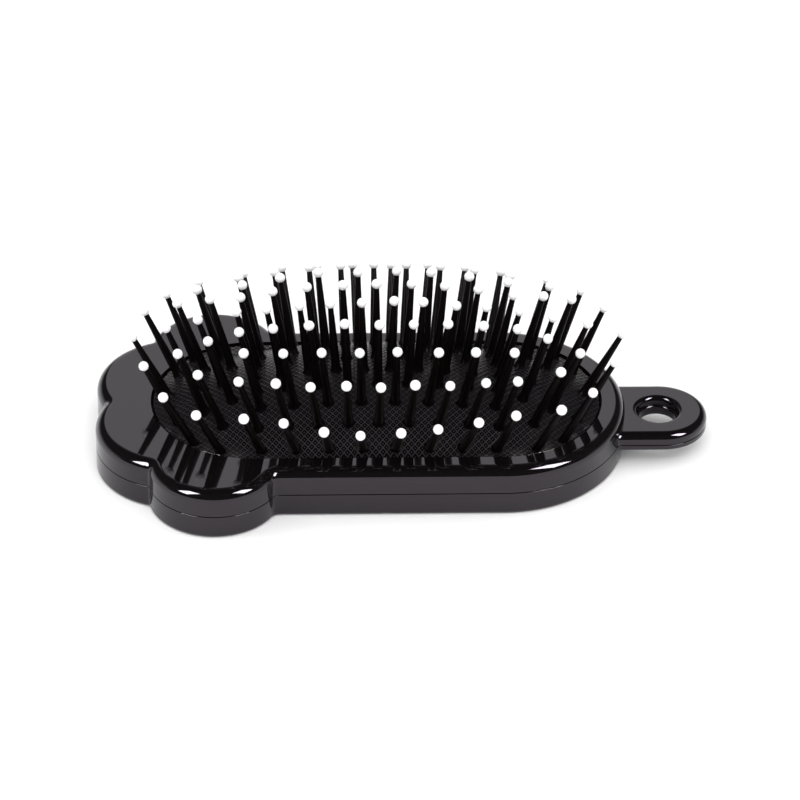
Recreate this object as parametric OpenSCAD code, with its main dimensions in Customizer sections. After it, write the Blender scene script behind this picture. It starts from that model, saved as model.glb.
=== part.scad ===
// Folding hairbrush with mirror.
// Two thin half shells share one paw outline. The upper half carries an air
// cushion with fanned pins. The lower half holds a mirror, and swivels out
// about a hollow bush in the ring tab, where it becomes the handle.
// Millimetres. +X runs from the toes to the ring tab, +Y to the back, +Z up.
// The origin is on the surface that the closed brush lies on, at the middle
// of its length and width.

/* [Body] */
// Length of the paw, from the toes to its round end
body_l = 112.3; // [104:0.1:124]
// Width over the straight sides, and diameter of the round end
body_w = 53.8; // [52:0.1:57]
// Height of the two closed halves
body_h = 11.2; // [10.6:0.1:13]
// Height of the parting line
part_z = 5.3; // [5.0:0.1:5.6]
// Gap between the halves
part_gap = 0.2; // [0.1:0.05:0.3]
// Thickness of the side walls
wall_t = 1.8; // [1.4:0.1:2]
// Thickness of the wall round the cushion
rim_t = 1.8; // [1.4:0.1:2]
// Thickness of the floor of the lower half
floor_t = 1.6; // [1.2:0.1:1.8]
// Rounding of the upper edge
top_round = 2.3; // [1.2:0.1:2.6]
// Rounding of the lower edge
bottom_round = 0.9; // [0.4:0.1:1.2]
// Width of the nail notch in the front lower edge
notch_w = 6; // [4:0.5:9]
// Height of the nail notch
notch_h = 0.45; // [0.3:0.05:0.8]

/* [Toes] */
// Width over the side toes
toes_w = 69.2; // [67:0.1:72]
// Radius of the two outer toes
outer_toe_r = 17; // [16:0.1:18]
// Distance between the centres of the outer toes
outer_toe_gap = 14.7; // [13:0.1:16]
// Radius of the two side toes
side_toe_r = 13.9; // [13:0.1:15]
// How far the side toes lie behind the outer toes
side_toe_back = 8.1; // [7:0.1:9]
// Fillet between the outer toes
web_mid_r = 1.4; // [1:0.1:2]
// Fillet between an outer and a side toe
web_toe_r = 1; // [0.8:0.1:1.6]
// Fillet between a side toe and the straight side
web_side_r = 2.2; // [1.6:0.1:3]

/* [Ring tab] */
// How far the tab stands out past the round end
tab_reach = 17.7; // [17:0.1:22]
// Width of the tab
tab_w = 19.7; // [18:0.1:22]
// Height of the tab's upper face
tab_top = 7.9; // [7.5:0.1:8.4]
// Height of the tab's lower face
tab_bottom = 4; // [3.7:0.05:4.1]
// Rounding of the tab's lower edge
tab_bottom_round = 0.4; // [0.2:0.05:0.5]
// Rounding of the tab's upper edge
tab_round = 1.7; // [1:0.1:1.9]
// Fillet between the tab and the round end
tab_web_r = 1.5; // [1:0.1:2.5]
// Distance from the hole's centre to the end of the tab
hole_in = 10.5; // [9.6:0.1:10.7]
// Rounding of the hole's upper edge
hole_round = 1; // [0.5:0.1:1.2]

/* [Pivot] */
// Radius of the bore through the hollow bush
bore_r = 3.9; // [3:0.1:4.2]
// Wall of the bush
bush_t = 1.5; // [1.2:0.1:1.7]
// Rounding of the bush's upper rim
bush_round = 0.5; // [0.3:0.05:0.6]
// Depth of the bush in the upper tab
bush_seat = 0.6; // [0.4:0.05:0.9]
// Width of the bush's flange past its shank
flange_w = 1.25; // [0.8:0.05:1.4]
// Thickness of the flange
flange_t = 0.45; // [0.3:0.05:0.5]
// Radial clearance of the turning half on the bush
run_fit = 0.06; // [0.03:0.01:0.09]
// Axial play of the turning half
end_play = 0.05; // [0.03:0.01:0.08]
// Width of the friction washer
washer_w = 2.1; // [1.5:0.1:2.3]
// Depth of the washer's recess in the upper tab
washer_seat = 0.2; // [0.15:0.05:0.3]

/* [Cushion] */
// Length of the cushion
pad_l = 95.1; // [88:0.1:97]
// Width of the cushion
pad_w = 43.2; // [42:0.1:43.6]
// Gap between the cushion and the edge of the window
pad_gap = 0.3; // [0.2:0.05:0.4]
// Height of the crown above the rim
crown_h = 7.5; // [7:0.1:9]
// Radius of the crown across the cushion
crown_ry = 35; // [33:0.1:38]
// Radius of the crown along the cushion
crown_rx = 150; // [136:1:220]
// Thickness of the rubber
rubber_t = 1.3; // [1:0.1:1.5]
// Width of the cushion's flange under the rim
pad_flange_w = 1.6; // [1:0.1:1.8]
// Thickness of that flange
pad_flange_t = 1.2; // [1:0.1:1.3]
// Width of the clamping frame under the flange
frame_w = 2.6; // [2:0.1:3]
// Thickness of the back plate
plate_t = 1.2; // [1:0.1:1.4]

/* [Pins] */
// Pins in each row from the middle row outwards
row_pins = [10, 9, 8, 9, 8];
// Distance between the rows
row_pitch = 5; // [4.6:0.05:5]
// Pins in each end column, from the rows outwards
end_pins = [7, 5, 3];
// Distance between the end columns
end_pitch = 5.7; // [5.4:0.05:5.8]
// Reach of the end columns, from the centre of the cushion's round end
end_reach = 19.2; // [18.4:0.1:19.4]
// How far every other pin of an end column stands out of line
end_stagger = 1; // [0:0.1:1.1]
// Length of a pin from the rubber to the centre of its ball
pin_l = 17; // [14:0.5:20]
// Radius of a pin at its root
pin_root_r = 0.95; // [0.8:0.05:1]
// Radius of a pin under its ball
pin_top_r = 0.58; // [0.5:0.02:0.62]
// Radius of the ball on a pin
ball_r = 1; // [0.9:0.05:1.2]
// Radius of a pin's flared root
root_flare_r = 1.25; // [1.1:0.05:1.3]
// Radius of a pin's neck in the rubber
neck_r = 0.75; // [0.6:0.05:0.8]
// Radius of a pin's head behind the rubber
head_r = 1; // [0.9:0.05:1.05]
// Clearance of a pin in the rubber
pin_fit = 0.05; // [0.03:0.01:0.1]

/* [Mirror] */
// Width of the glass
glass_w = 40; // [36:0.5:41]
// Thickness of the glass
glass_t = 1; // [0.8:0.1:1.2]
// Depth of the glass below the parting face
glass_sunk = 0.2; // [0.1:0.05:0.3]
// Thickness of the adhesive tape
tape_t = 0.3; // [0.2:0.05:0.5]
// Thickness of the mirror frame under the tape
tray_t = 1.1; // [0.9:0.1:1.2]
// Thickness of the ribs in the lower half
rib_t = 1; // [0.8:0.1:1.5]

/* [Fasteners] */
// Radius of the screws that hold the back plate
screw_r = 0.8; // [0.7:0.05:1]
// Radius of their countersunk heads
screw_head_r = 1.8; // [1.6:0.05:2]
// Radius of the bosses that they turn into
boss_r = 2.4; // [2.1:0.1:2.6]
// Clearance between pieces that are dropped in
drop_fit = 0.1; // [0.05:0.05:0.2]

/* [Hidden] */

$fn = 96;
eps = 0.5;  // how far a cutter runs past the face that it opens
web_bite = 0.005;  // how far a fillet's cutter bites into its neighbours
lap = 0.1;  // how far a middle piece runs under the straight sides
hair = 0.02;  // a clearance that only keeps two faces apart

// The cushion is at least as wide as its pins need, and the body as its cushion needs
pin_edge = 2.2;
pad_r = max(pad_w / 2, end_reach + pin_edge);
half_w = max(body_w / 2, pad_r + frame_w + wall_t);

// Outline: the toes, the straight sides and the round end
total_l = body_l + tab_reach;
toe_x = -total_l / 2;
end_x = toe_x + body_l - half_w;
outer_toe = [toe_x + outer_toe_r, outer_toe_gap / 2];
side_toe = [outer_toe.x + side_toe_back, toes_w / 2 - side_toe_r];
web_mid = [
    outer_toe.x - sqrt(pow(outer_toe_r + web_mid_r, 2) - pow(outer_toe.y, 2)), 0
];
web_toe = web_centre(outer_toe, outer_toe_r, side_toe, side_toe_r, web_toe_r);
web_side = [
    side_toe.x + leg(side_toe_r + web_side_r, half_w + web_side_r - side_toe.y),
    half_w + web_side_r
];

// Ring tab
tab_end_x = total_l / 2 - tab_w / 2;
tab_web = [
    end_x + leg(half_w + tab_web_r, tab_w / 2 + tab_web_r),
    tab_w / 2 + tab_web_r
];
hole_x = total_l / 2 - hole_in;

// Levels
lower_top = part_z - part_gap / 2;
upper_bottom = part_z + part_gap / 2;
rim_z = body_h - rim_t;
pad_flange_z = rim_z - pad_flange_t;
plate_z = upper_bottom + plate_t;
bush_top = upper_bottom + bush_seat;
glass_top = lower_top - glass_sunk;
tape_z = glass_top - glass_t - tape_t;
tray_z = tape_z - tray_t;

// Pivot radii
bush_r = bore_r + bush_t;
flange_r = bush_r + flange_w;
washer_r = bush_r + run_fit + washer_w;

// Cushion: an obround about the line between two centres, with a thin skirt
pad_right = end_x;
pad_left = pad_right - (pad_l - 2 * pad_r);
pad_mid = (pad_left + pad_right) / 2;
crown_z = body_h + crown_h;
skirt_t = 1;
skirt_r = pad_r - skirt_t;

// Screws in the toes, their bosses this far inside the walls
boss_in = 1.3;
screw_spots = [
    [side_toe.x, side_toe.y + side_toe_r - wall_t - boss_r - boss_in],
    [outer_toe.x - outer_toe_r + wall_t + boss_r + boss_in, outer_toe.y]
];
// A screw: straight edge of its head, plate left past its cone, room at its tip, and
// the size of its cross slots
head_edge = 0.08;
plate_web = 0.15;
tip_room = 0.6;
slot_w = 0.4;
slot_l = 2;
slot_h = 0.5;

// Tongue of the back plate
tongue_w = 12;
tongue_in = 1;
tongue_t = 0.8;

// Ribs that carry the mirror frame: distance of the outer ones from the middle, and
// how far they run into the floor and the walls
rib_y = 0.35 * glass_w;
rib_bite = 0.01;

// Nail notch: how far it lies from the cushion's middle, and how far it runs in
notch_x = 1.2;
notch_in = 2.4;

// Tape: how far it stays inside the edge of the glass
tape_in = 1;

// The shorter leg of a right triangle
function leg(hyp, other) = sqrt(hyp * hyp - other * other);

// Centre of the fillet circle that touches two circles on their left side
function web_centre(a, ra, b, rb, w) =
    let (
        d = norm(b - a),
        along = (d * d + pow(ra + w, 2) - pow(rb + w, 2)) / (2 * d),
        side = leg(ra + w, along),
        u = (b - a) / d
    )
    a + u * along + [-u.y, u.x] * side;

// ---- Outline in plan, set in by d ----

// One copy at a spot and one across the middle line
module pair(spot) {
    for (side = [1, -1]) translate([spot.x, side * spot.y]) children();
}

// The polygon runs a little under the straight sides, so that the two join
core_points = [
    web_mid, [outer_toe.x, -outer_toe.y], [web_toe.x, -web_toe.y],
    [side_toe.x, -side_toe.y], [web_side.x, -web_side.y],
    [web_side.x + lap, -web_side.y], [web_side.x + lap, web_side.y],
    web_side, side_toe, web_toe, outer_toe
];

module outline(d = 0) {
    difference() {
        union() {
            polygon(core_points);
            pair(outer_toe) circle(outer_toe_r - d);
            pair(side_toe) circle(side_toe_r - d);
        }
        translate(web_mid) circle(web_mid_r + web_bite + d);
        pair(web_toe) circle(web_toe_r + web_bite + d);
        pair(web_side) circle(web_side_r + web_bite + d);
    }
    translate([web_side.x, d - half_w])
        square([end_x - web_side.x, 2 * (half_w - d)]);
    translate([end_x, 0]) circle(half_w - d);
}

module obround(x0, x1, r) {
    translate([x0, 0]) circle(r);
    translate([x1, 0]) circle(r);
    translate([x0, -r]) square([x1 - x0, 2 * r]);
}

module slab(z0, z1) {
    translate([0, 0, z0]) linear_extrude(z1 - z0) children();
}

// ---- Solids with a rounded edge ----

// Half section out to radius r, rounded by rt above and rb below
module edge_section(r, z0, z1, rt, rb) {
    difference() {
        translate([0, z0]) square([r, z1 - z0]);
        if (rt > 0) translate([r - rt, z1 - rt]) corner(rt);
        if (rb > 0) translate([r - rb, z0 + rb]) mirror([0, 1]) corner(rb);
    }
}

module corner(r) {
    difference() {
        square(r + eps);
        circle(r);
    }
}

// Half section of the cutter for a concave fillet of radius w. It bites a hair
// into both neighbours, so that its edge crosses theirs instead of touching it.
module web_section(w, z0, z1, rt, rb) {
    cut = w + web_bite;
    translate([0, z0 - eps]) square([cut, z1 - z0 + 2 * eps]);
    if (rt > 0) translate([cut + rt, z1 - rt]) mirror([1, 0]) flare(rt);
    if (rb > 0) translate([cut + rb, z0 + rb]) mirror([1, 0]) mirror([0, 1]) flare(rb);
}

module flare(r) {
    difference() {
        square([r, r + eps]);
        circle(r);
    }
}

module sector(centre, from, to) {
    translate(centre) rotate(from) rotate_extrude(angle = to - from) children();
}

// The paw between two levels, its edge rounded by rt above and rb below
module paw(z0, z1, rt, rb) {
    difference() {
        union() {
            slab(z0, z1) polygon(core_points);
            pair(outer_toe)
                rotate_extrude() edge_section(outer_toe_r, z0, z1, rt, rb);
            pair(side_toe)
                rotate_extrude() edge_section(side_toe_r, z0, z1, rt, rb);
        }
        translate(web_mid) rotate_extrude() web_section(web_mid_r, z0, z1, rt, rb);
        pair(web_toe)
            rotate_extrude() web_section(web_toe_r, z0, z1, rt, rb);
        pair(web_side)
            rotate_extrude() web_section(web_side_r, z0, z1, rt, rb);
    }
    translate([web_side.x, 0, 0]) rotate([90, 0, 90])
        linear_extrude(end_x - web_side.x) {
            edge_section(half_w, z0, z1, rt, rb);
            mirror([1, 0]) edge_section(half_w, z0, z1, rt, rb);
        }
    sector([end_x, 0], -90, 90) edge_section(half_w, z0, z1, rt, rb);
}

// The tab between two levels, its edge rounded by rt above and rb below
module tab(z0, z1, rt, rb) {
    difference() {
        slab(z0, z1) polygon([
            [end_x, 0], [tab_web.x, -tab_web.y], [tab_web.x + lap, -tab_web.y],
            [tab_web.x + lap, tab_web.y], tab_web
        ]);
        pair(tab_web)
            rotate_extrude() web_section(tab_web_r, z0, z1, rt, rb);
    }
    translate([tab_web.x, 0, 0]) rotate([90, 0, 90])
        linear_extrude(tab_end_x - tab_web.x) {
            edge_section(tab_w / 2, z0, z1, rt, rb);
            mirror([1, 0]) edge_section(tab_w / 2, z0, z1, rt, rb);
        }
    sector([tab_end_x, 0], -90, 90) edge_section(tab_w / 2, z0, z1, rt, rb);
}

module at_pivot(z) {
    translate([hole_x, 0, z]) children();
}

module at_screws() {
    for (spot = screw_spots) pair(spot) children();
}

// ---- Upper half ----

module brush_shell() {
    color("#1c1a1c") {
        difference() {
            union() {
                paw(upper_bottom, body_h, top_round, 0);
                tab(upper_bottom, tab_top, tab_round, 0);
            }
            slab(upper_bottom - eps, rim_z) outline(wall_t);
            slab(rim_z - eps, body_h + eps) obround(pad_left, pad_right, pad_r + pad_gap);
            at_pivot(0) upper_hole();
            plate_tongue(drop_fit);
        }
        difference() {
            at_screws() translate([0, 0, plate_z]) cylinder(h = rim_z + eps - plate_z, r = boss_r);
            at_screws() translate([0, 0, plate_z - eps])
                cylinder(h = rim_z - plate_z, r = screw_r + drop_fit / 2);
        }
    }
}

// Stepped hole of the upper tab: a rounded mouth, the bush's seat, the washer's recess
module upper_hole() {
    mouth_r = bore_r + bush_round;
    rotate_extrude() {
        translate([0, upper_bottom - eps]) square([mouth_r, tab_top - upper_bottom + 2 * eps]);
        translate([mouth_r + hole_round, tab_top - hole_round]) mirror([1, 0]) flare(hole_round);
    }
    translate([0, 0, upper_bottom - eps]) cylinder(h = bush_seat + eps, r = bush_r + hair);
    translate([0, 0, upper_bottom - eps])
        cylinder(h = washer_seat + eps, r = washer_r + drop_fit);
}

// Tongue of the back plate in the round end's wall
module plate_tongue(fit) {
    translate([end_x, -tongue_w / 2 - fit, plate_z - tongue_t - fit])
        cube([half_w - wall_t + tongue_in + fit, tongue_w + 2 * fit, tongue_t + 2 * fit]);
}

// The crown: a barrel, round across and gently curved along the cushion
module crown(inset) {
    translate([pad_mid, 0, crown_z - crown_rx]) rotate([90, 0, 0])
        rotate_extrude($fn = 256) difference() {
            translate([crown_rx - crown_ry, 0]) circle(crown_ry - inset);
            translate([0, -crown_ry]) square([crown_rx - crown_ry, 2 * crown_ry]);
        }
}

module cushion() {
    color("#151314") difference() {
        union() {
            intersection() {
                crown(0);
                slab(pad_flange_z, crown_z + 1) obround(pad_left, pad_right, pad_r);
            }
            slab(pad_flange_z, rim_z) trimmed() obround(pad_left, pad_right, pad_r + pad_flange_w);
        }
        intersection() {
            crown(rubber_t);
            slab(pad_flange_z - eps, crown_z) obround(pad_left, pad_right, skirt_r);
        }
        for (spot = all_spots) on_crown(spot)
            translate([0, 0, -hole_depth])
                cylinder(h = 2 * hole_depth, r = neck_r + pin_fit, $fn = 24);
        // Room for the screw bosses, where a short body brings them near
        at_screws() translate([0, 0, pad_flange_z - eps])
            cylinder(h = rim_z + 2 * eps - pad_flange_z + drop_fit, r = boss_r + drop_fit);
    }
}

// Trims a flat piece to the room between the walls and the screw bosses
module trimmed() {
    difference() {
        intersection() {
            outline(wall_t + drop_fit);
            children();
        }
        at_screws() circle(boss_r + drop_fit);
    }
}

module cushion_frame() {
    inner_r = pad_r - drop_fit;
    color("#2a2829") slab(plate_z, pad_flange_z) trimmed() difference() {
        obround(pad_left, pad_right, inner_r + frame_w);
        obround(pad_left, pad_right, inner_r);
    }
}

module back_plate() {
    color("#201e20") {
        difference() {
            slab(upper_bottom, plate_z) outline(wall_t + drop_fit);
            at_screws() translate([0, 0, upper_bottom]) screw_form(drop_fit / 2);
        }
        plate_tongue(0);
    }
}

// A countersunk screw, head down; the hole for it is the same form with a fit
module screw_form(fit) {
    cone_h = plate_t - plate_web - head_edge;
    translate([0, 0, fit > 0 ? -eps : hair])
        cylinder(h = (fit > 0 ? eps : 0) + head_edge, r = screw_head_r + fit);
    translate([0, 0, head_edge])
        cylinder(h = cone_h, r1 = screw_head_r + fit, r2 = screw_r + fit);
    translate([0, 0, head_edge + cone_h - hair])
        cylinder(h = rim_z - plate_z - tip_room, r = screw_r + fit);
}

module plate_screws() {
    color("#8d8f92") at_screws() translate([0, 0, upper_bottom]) difference() {
        screw_form(0);
        for (turn = [0, 90]) rotate(turn)
            translate([-slot_l / 2, -slot_w / 2, -eps]) cube([slot_l, slot_w, eps + slot_h]);
    }
}

// ---- Pins ----

first_column = (pad_right - pad_left) / 2 + end_pitch;

// Middle rows: pins evenly spaced between the two first end columns, bowed a little
row_bow = 0.09;
function row_spots(i) =
    let (n = row_pins[abs(i)], pitch = 2 * first_column / (n + 1))
    [for (j = [1:n]) let (dx = j * pitch - first_column)
        [pad_mid + dx, i * row_pitch * (1 - row_bow * pow(dx / first_column, 2))]];

// End columns: fewer pins in each, out to end_reach from the round end's centre.
// The pins beside the middle one stand a little further in, all others further out.
function end_spots(side) =
    [for (k = [0:len(end_pins) - 1]) let (
        half = (end_pins[k] - 1) / 2,
        out = (k + 1) * end_pitch,
        step = leg(end_reach, out) / half
    ) for (j = [-half:half]) let (
        zigzag = abs(j) == 1 ? -end_stagger : end_stagger
    ) [(side > 0 ? pad_right : pad_left) + side * (out + zigzag), j * step]];

all_spots = concat([for (i = [-4:4]) each row_spots(i)], end_spots(-1), end_spots(1));

// Height of the crown over a spot
function crown_at(p) =
    crown_z - crown_rx + leg(crown_rx - crown_ry + leg(crown_ry, p.y), p.x - pad_mid);

// Lean of a pin, as sines towards x and y: near the crown's own slope, a little
// more far out, and less across near the round ends
fan_along = 1.155;
fan_along_more = 0.16;
fan_across = 1.02;
fan_across_more = 0.39;
fan_ease = 0.37;
function lean(p) =
    let (dx = p.x - pad_mid, far = pow(dx / first_column, 2), steep = abs(p.y) / crown_ry)
    [
        dx / crown_rx * (fan_along + fan_along_more * far),
        p.y / crown_ry * (fan_across + fan_across_more * steep) * (1 - fan_ease * far)
    ];

module on_crown(p) {
    s = lean(p);
    translate([p.x, p.y, crown_at(p)])
        rotate([0, asin(norm(s)), norm(s) > 0 ? atan2(s.y, s.x) : 0])
            children();
}

// Levels of a pin from the rubber's face: head, flared root, start of the taper
head_t = 0.5;
head_z = -rubber_t - 0.3;
flare_z = 0.25;
flare_t = 0.15;
taper_z = 1.65;
hole_depth = 3;

// Head, neck, flared root, tapered shank and the spigot in the ball
module pin() {
    rotate_extrude($fn = 24) polygon([
        [0, head_z - head_t], [head_r, head_z - head_t], [head_r, head_z],
        [neck_r, head_z], [neck_r, flare_z], [root_flare_r, flare_z],
        [root_flare_r, flare_z + flare_t], [pin_root_r, taper_z],
        [pin_top_r, pin_l - ball_r * 0.6], [pin_top_r, pin_l], [0, pin_l]
    ]);
}

module ball() {
    translate([0, 0, pin_l]) difference() {
        sphere(ball_r, $fn = 32);
        translate([0, 0, -2 * ball_r])
            cylinder(h = 2 * ball_r + hair, r = pin_top_r + hair, $fn = 24);
    }
}

module pins(spots) {
    color("#231e1c") for (spot = spots) on_crown(spot) pin();
}

module tips(spots) {
    color("#f4f4f6") for (spot = spots) on_crown(spot) ball();
}

// ---- Lower half ----

module mirror_shell() {
    color("#1c1a1c") {
        difference() {
            union() {
                paw(0, lower_top, 0, bottom_round);
                tab(tab_bottom, lower_top, 0, tab_bottom_round);
            }
            slab(floor_t, lower_top + eps) outline(wall_t);
            at_pivot(tab_bottom - eps)
                cylinder(h = lower_top - tab_bottom + 2 * eps, r = bush_r + run_fit);
            at_pivot(tab_bottom - eps)
                cylinder(h = flange_t + end_play + eps, r = flange_r + drop_fit);
            nail_notch();
        }
        ribs();
    }
}

// Shallow scoop in the middle of the front lower edge
module nail_notch() {
    scoop_r = (notch_w * notch_w / 4 + notch_h * notch_h) / (2 * notch_h);
    translate([pad_mid + notch_x, notch_in - half_w, notch_h - scoop_r]) rotate([90, 0, 0])
        cylinder(h = notch_in + eps, r = scoop_r);
}

// Ribs that carry the mirror frame
module ribs() {
    slab(floor_t - rib_bite, tray_z) intersection() {
        outline(wall_t - rib_bite);
        union() {
            for (y = [-rib_y, 0, rib_y])
                translate([toe_x, y - rib_t / 2]) square([body_l, rib_t]);
            for (k = [0:4])
                translate([pad_left + k * (pad_right - pad_left) / 4 - rib_t / 2, -half_w])
                    square([rib_t, 2 * half_w]);
        }
    }
}

module mirror_frame() {
    color("#201e20") difference() {
        slab(tray_z, lower_top) outline(wall_t + drop_fit);
        slab(tape_z, lower_top + eps) obround(pad_left, pad_right, glass_w / 2 + drop_fit);
    }
}

module mirror_tape() {
    color("#d9d6cc") slab(tape_z, tape_z + tape_t)
        obround(pad_left, pad_right, glass_w / 2 - tape_in);
}

module mirror_glass() {
    color("#c8d4da") slab(glass_top - glass_t, glass_top)
        obround(pad_left, pad_right, glass_w / 2);
}

// ---- Pivot ----

// Hollow bush: flange below, running shank, rounded rim above
module pivot_bush() {
    color("#1c1a1c") at_pivot(0) rotate_extrude() difference() {
        union() {
            translate([bore_r, tab_bottom]) square([flange_r - bore_r, flange_t]);
            translate([bore_r, tab_bottom]) square([bush_t, bush_top - tab_bottom]);
        }
        translate([bore_r + bush_round, bush_top - bush_round]) mirror([1, 0]) corner(bush_round);
    }
}

module friction_washer() {
    washer_z = lower_top + end_play;
    color("#3a3836") at_pivot(washer_z) difference() {
        cylinder(h = upper_bottom + washer_seat - washer_z, r = washer_r);
        translate([0, 0, -eps]) cylinder(h = washer_seat + 3 * eps, r = bush_r + run_fit);
    }
}

brush_shell();
cushion();
cushion_frame();
back_plate();
plate_screws();
pins(row_spots(-4));  // pins_row_1
pins(row_spots(-3));  // pins_row_2
pins(row_spots(-2));  // pins_row_3
pins(row_spots(-1));  // pins_row_4
pins(row_spots(0));  // pins_row_5
pins(row_spots(1));  // pins_row_6
pins(row_spots(2));  // pins_row_7
pins(row_spots(3));  // pins_row_8
pins(row_spots(4));  // pins_row_9
pins(end_spots(-1));  // pins_end_left
pins(end_spots(1));  // pins_end_right
tips(row_spots(-4));  // tips_row_1
tips(row_spots(-3));  // tips_row_2
tips(row_spots(-2));  // tips_row_3
tips(row_spots(-1));  // tips_row_4
tips(row_spots(0));  // tips_row_5
tips(row_spots(1));  // tips_row_6
tips(row_spots(2));  // tips_row_7
tips(row_spots(3));  // tips_row_8
tips(row_spots(4));  // tips_row_9
tips(end_spots(-1));  // tips_end_left
tips(end_spots(1));  // tips_end_right
mirror_shell();
mirror_frame();
mirror_tape();
mirror_glass();
pivot_bush();
friction_washer();
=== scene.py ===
# %% [markdown]
# # A folding hairbrush with a mirror
# The brush is two thin half shells with one outline, like a small paw. The upper half carries
# an air cushion with fanned pins, the lower half hides a mirror and swings out about the ring.
# Each CAD node is either given a better material or replaced by a finer mesh that keeps to the
# same sizes, so that what moves in the mechanism moves here too.

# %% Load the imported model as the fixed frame
import math

import bmesh
import bpy
import numpy as np
from mathutils import Matrix, Vector


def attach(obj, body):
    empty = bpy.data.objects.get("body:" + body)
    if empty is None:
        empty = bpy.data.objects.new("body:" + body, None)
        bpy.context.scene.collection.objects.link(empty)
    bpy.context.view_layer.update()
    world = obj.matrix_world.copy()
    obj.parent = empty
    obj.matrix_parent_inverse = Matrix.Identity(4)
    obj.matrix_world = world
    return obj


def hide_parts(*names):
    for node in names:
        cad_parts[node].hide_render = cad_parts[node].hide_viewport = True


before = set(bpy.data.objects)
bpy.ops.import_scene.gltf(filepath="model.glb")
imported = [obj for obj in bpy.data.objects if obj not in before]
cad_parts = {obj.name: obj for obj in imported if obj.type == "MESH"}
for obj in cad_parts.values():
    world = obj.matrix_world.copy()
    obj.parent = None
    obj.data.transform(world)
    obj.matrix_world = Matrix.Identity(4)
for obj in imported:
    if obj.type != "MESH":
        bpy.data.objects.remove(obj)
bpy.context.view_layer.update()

# %% [markdown]
# ## Sizes
# Sizes are written in millimetres, as a maker reads them from the drawing, and turned into
# metres at the last moment, when a mesh is made. They are the sizes that the solids were made
# with, so every fine mesh lies on its solid. A size that only one piece needs stands with it.

# %% The sizes that shells, cushion and pins share
MM = 0.001
TAU = 2 * math.pi
END_X, HALF_W = 20.4, 26.9  # middle and radius of the round end
OUTER_TOE, OUTER_TOE_R = (-48.0, 7.35), 17.0
SIDE_TOE, SIDE_TOE_R = (-39.9, 20.7), 13.9
WEB_MID_R, WEB_TOE_R, WEB_SIDE_R = 1.4, 1.0, 2.2  # the hollow arcs between the toes
LOWER_TOP, UPPER_BOTTOM, BODY_TOP = 5.2, 5.4, 11.2  # heights over the table
TOP_ROUND, BOTTOM_ROUND, WALL = 2.3, 0.9, 1.8
RIM_Z, FLOOR_Z = 9.4, 1.6  # the underside of the window's rim, and the tray's inner floor
TAB_END_X, TAB_HALF_W = 55.15, 9.85
TAB_TOP, TAB_BOTTOM, TAB_ROUND, TAB_WEB_R = 7.9, 4.0, 1.7, 1.5
HOLE_X, MOUTH_R, HOLE_ROUND = 54.5, 4.4, 1.0  # the ring's hole, which is also the pivot
BORE_R, BUSH_R, BUSH_TOP, BUSH_ROUND = 3.9, 5.4, 6.0, 0.5
PAD_LEFT, PAD_RIGHT, PAD_MID, PAD_R = -31.5, 20.4, -5.55, 21.6  # the obround cushion
WINDOW_R = PAD_R + 0.3
CROWN_Z, CROWN_RY, CROWN_RX = 18.7, 35.0, 150.0  # top and radii of the cushion's crown
print("cushion:", round(PAD_RIGHT - PAD_LEFT + 2 * PAD_R, 2), "mm long,", 2 * PAD_R, "mm wide")

# %% [markdown]
# ## The camera
# A long lens from well away keeps the brush almost free of perspective. A camera could be moved
# by hand until the view fits. Here it is placed by the point that it looks at, its distance, its
# direction round and above that point, and a slight roll, so that each can be set by itself.

# %% Camera
def place_camera(target, distance, azimuth, elevation, roll, lens):
    azimuth, elevation, roll = (math.radians(angle) for angle in (azimuth, elevation, roll))
    forward = Vector((math.sin(azimuth) * math.cos(elevation),
                      math.cos(azimuth) * math.cos(elevation), -math.sin(elevation)))
    right = Vector((math.cos(azimuth), -math.sin(azimuth), 0))
    up = right.cross(forward)
    right, up = (math.cos(roll) * right + math.sin(roll) * up,
                 math.cos(roll) * up - math.sin(roll) * right)
    camera = bpy.data.objects.new("camera", bpy.data.cameras.new("camera"))
    bpy.context.scene.collection.objects.link(camera)
    rotation = Matrix((right, up, -forward)).transposed().to_4x4()
    camera.matrix_world = Matrix.Translation(Vector(target) - distance * forward) @ rotation
    camera.data.lens = lens
    camera.data.sensor_width = 36
    camera.data.clip_start, camera.data.clip_end = 0.05, 50
    bpy.context.scene.camera = camera
    return camera


camera = place_camera(target=(-0.0002, 0.00835, 0.005), distance=0.9, azimuth=2.52,
                      elevation=34.3, roll=1.01, lens=188.437)
print("camera stands at", [round(c, 4) for c in camera.matrix_world.translation])

# %% [markdown]
# ## Shader maths as sums
# Blender builds materials from nodes, and written out one by one, a chain of Math nodes is hard
# to follow. To read it like a sum, a small class wraps a socket and gives it the usual
# operators, each of which adds one Math node. `node` adds any other node.

# %% Sockets that can be added and multiplied
class Socket:
    def __init__(self, tree, link):
        self.tree, self.link = tree, link

    def __add__(self, other):
        return maths("ADD", self, other)

    def __radd__(self, other):
        return maths("ADD", other, self)

    def __sub__(self, other):
        return maths("SUBTRACT", self, other)

    def __rsub__(self, other):
        return maths("SUBTRACT", other, self)

    def __mul__(self, other):
        return maths("MULTIPLY", self, other)

    def __rmul__(self, other):
        return maths("MULTIPLY", other, self)


def node(tree, kind, settings, values):
    """Adds a node: first its settings, then a value or a link for each socket."""
    made = tree.nodes.new(kind)
    for name, setting in settings.items():
        setattr(made, name, setting)
    for name, value in values.items():
        if isinstance(value, Socket):
            tree.links.new(value.link, made.inputs[name])
        else:
            made.inputs[name].default_value = value
    return [Socket(tree, out) for out in made.outputs]


def maths(operation, a, b):
    """One Math node; at least one of the two values is a socket."""
    tree = a.tree if isinstance(a, Socket) else b.tree
    return node(tree, "ShaderNodeMath", {"operation": operation}, {0: a, 1: b})[0]


# %% What every material needs
def material(name):
    """A new material with an empty tree."""
    made = bpy.data.materials.new(name)
    made.use_nodes = True
    tree = made.node_tree
    tree.nodes.clear()
    return made, tree


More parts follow.
